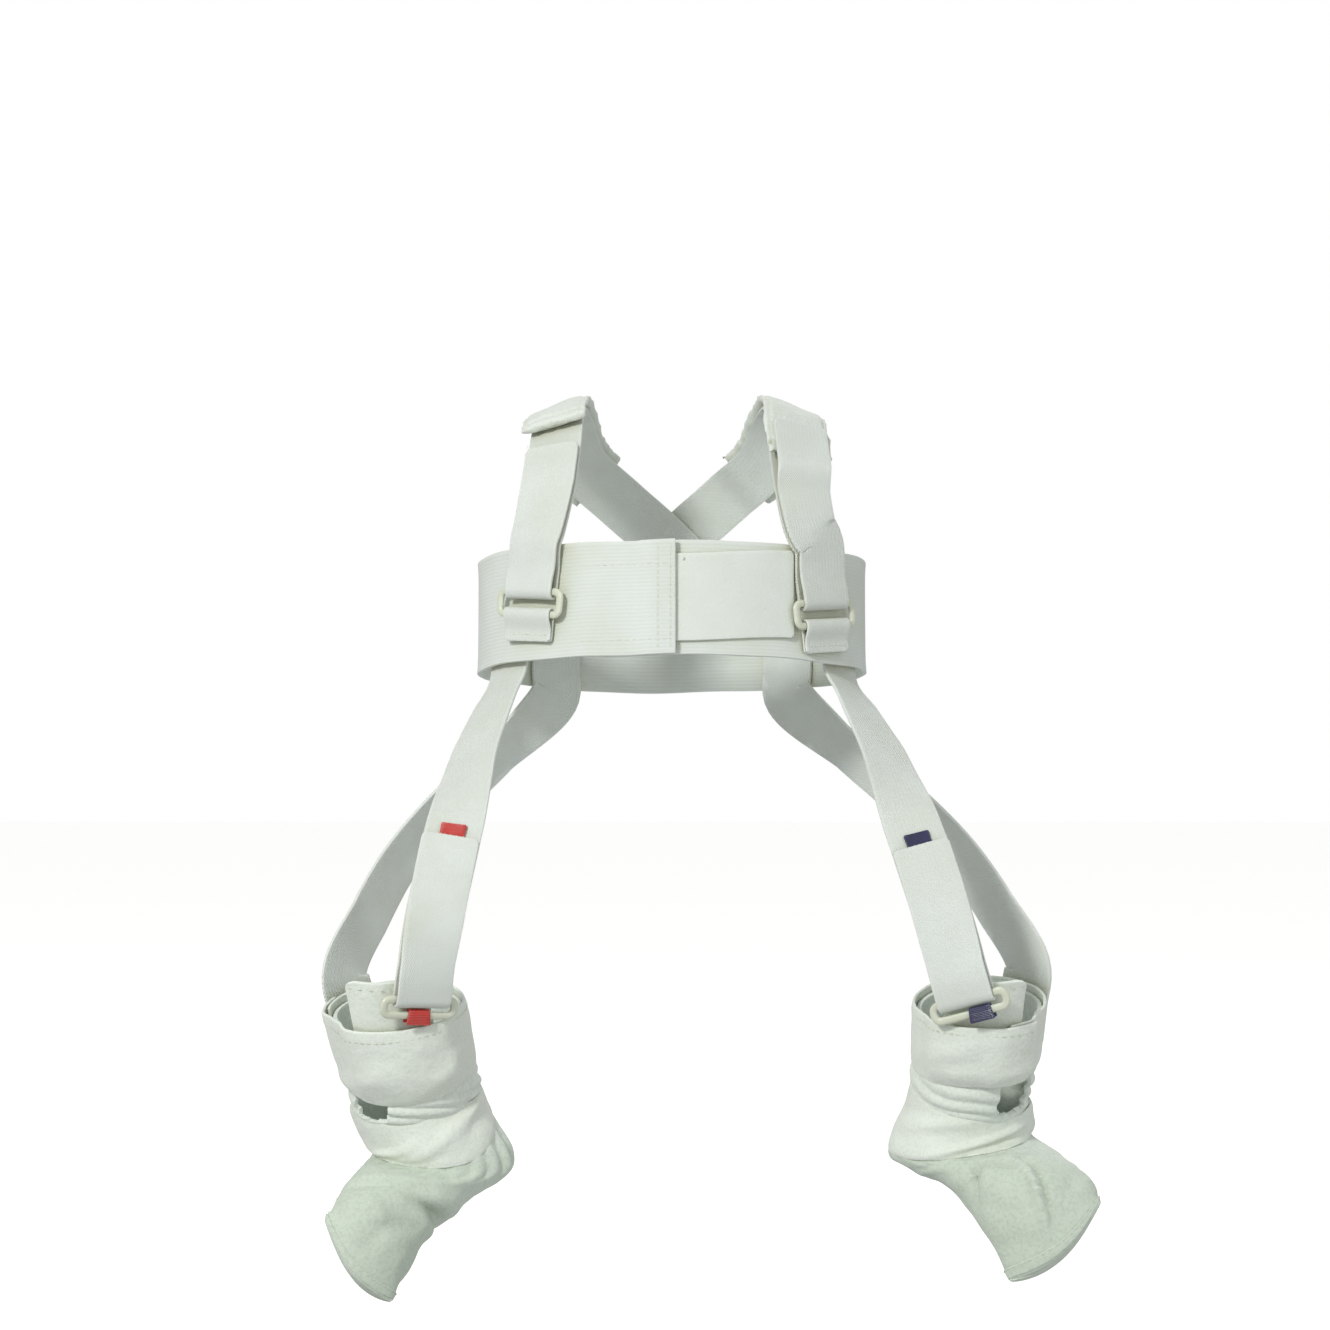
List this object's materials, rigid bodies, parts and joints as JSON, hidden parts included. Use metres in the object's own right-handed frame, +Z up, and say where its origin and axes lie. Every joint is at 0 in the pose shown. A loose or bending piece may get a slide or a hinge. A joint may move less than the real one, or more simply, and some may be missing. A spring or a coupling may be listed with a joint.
{
  "type": "pavlik harness",
  "caption": "Infant hip harness in worn form: chest band, padded shoulder straps, front and back leg straps and fabric booties.",
  "frame": {"origin": "Centre of the chest band ring, in the hollow the chest fills.", "axes": "+Z up along the seated wearer, -Y to the front, +X to the wearer's left."},
  "size_m": [0.3341, 0.2112, 0.3938],
  "materials": {
    "elastic_band": "ribbed elastic, matte",
    "hook_tape": "smooth hook tape",
    "webbing": "woven webbing, matte",
    "pad_cloth": "brushed cloth",
    "bootie_cloth": "brushed laminate cloth",
    "wrap_cloth": "smooth laminate cloth, matte",
    "ring_plastic": "moulded cream plastic",
    "red_ribbon": "ribbon, slight sheen",
    "navy_ribbon": "ribbon, slight sheen"
  },
  "bodies": {
    "root": {"chest_band": "elastic_band", "closure_tab": "hook_tape", "shoulder_strap_right": "webbing", "shoulder_pad_right": "pad_cloth", "shoulder_ring_right": "ring_plastic", "ring_keeper_right": "webbing", "bootie_shell_right": "bootie_cloth", "shin_tab_right": "wrap_cloth", "calf_strap_right": "wrap_cloth", "ankle_strap_right": "wrap_cloth", "front_leg_strap_right": "webbing", "leg_ring_right": "ring_plastic", "upper_marker_right": "red_ribbon", "lower_marker_right": "red_ribbon", "back_leg_strap_right": "webbing", "shoulder_strap_left": "webbing", "shoulder_pad_left": "pad_cloth", "shoulder_ring_left": "ring_plastic", "ring_keeper_left": "webbing", "bootie_shell_left": "bootie_cloth", "shin_tab_left": "wrap_cloth", "calf_strap_left": "wrap_cloth", "ankle_strap_left": "wrap_cloth", "front_leg_strap_left": "webbing", "leg_ring_left": "ring_plastic", "upper_marker_left": "navy_ribbon", "lower_marker_left": "navy_ribbon", "back_leg_strap_left": "webbing"}
  },
  "joints": []
}
